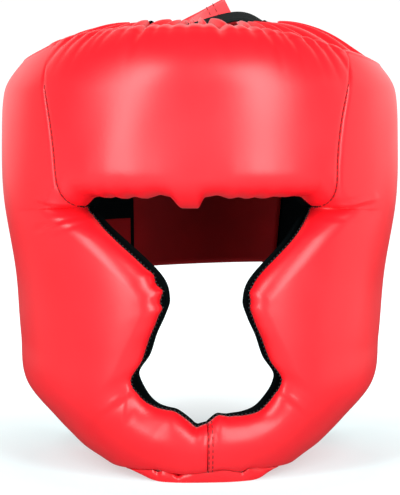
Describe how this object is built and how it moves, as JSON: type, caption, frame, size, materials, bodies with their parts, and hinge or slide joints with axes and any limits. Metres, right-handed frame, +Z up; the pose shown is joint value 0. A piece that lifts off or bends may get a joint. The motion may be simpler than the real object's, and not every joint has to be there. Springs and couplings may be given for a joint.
{
  "type": "kickboxing headgear",
  "caption": "Open-face padded kickboxing headgear with gathered open crown, cheek and chin guards, black lining and a hook-and-loop rear closure.",
  "frame": {"origin": "on the floor, under the middle of the headgear's width and depth", "axes": "+Z up, -Y towards the front (face opening), +X towards the viewer's right when the front is seen"},
  "size_m": [0.2285, 0.2278, 0.2633],
  "materials": {
    "leather_red": "coated, satin",
    "lining_black": "woven, matt",
    "loop_tape_black": "looped pile, matt"
  },
  "bodies": {
    "root": {"forehead_pad": "leather_red", "cheek_pad_left": "leather_red", "cheek_pad_right": "leather_red", "chin_hem": "leather_red", "crown_ring": "leather_red", "crown_lining": "lining_black", "lining_forehead": "lining_black", "lining_left": "lining_black", "lining_right": "lining_black", "back_flap": "leather_red", "back_strap": "leather_red", "crown_strap": "leather_red", "crown_tab": "loop_tape_black"}
  },
  "joints": []
}
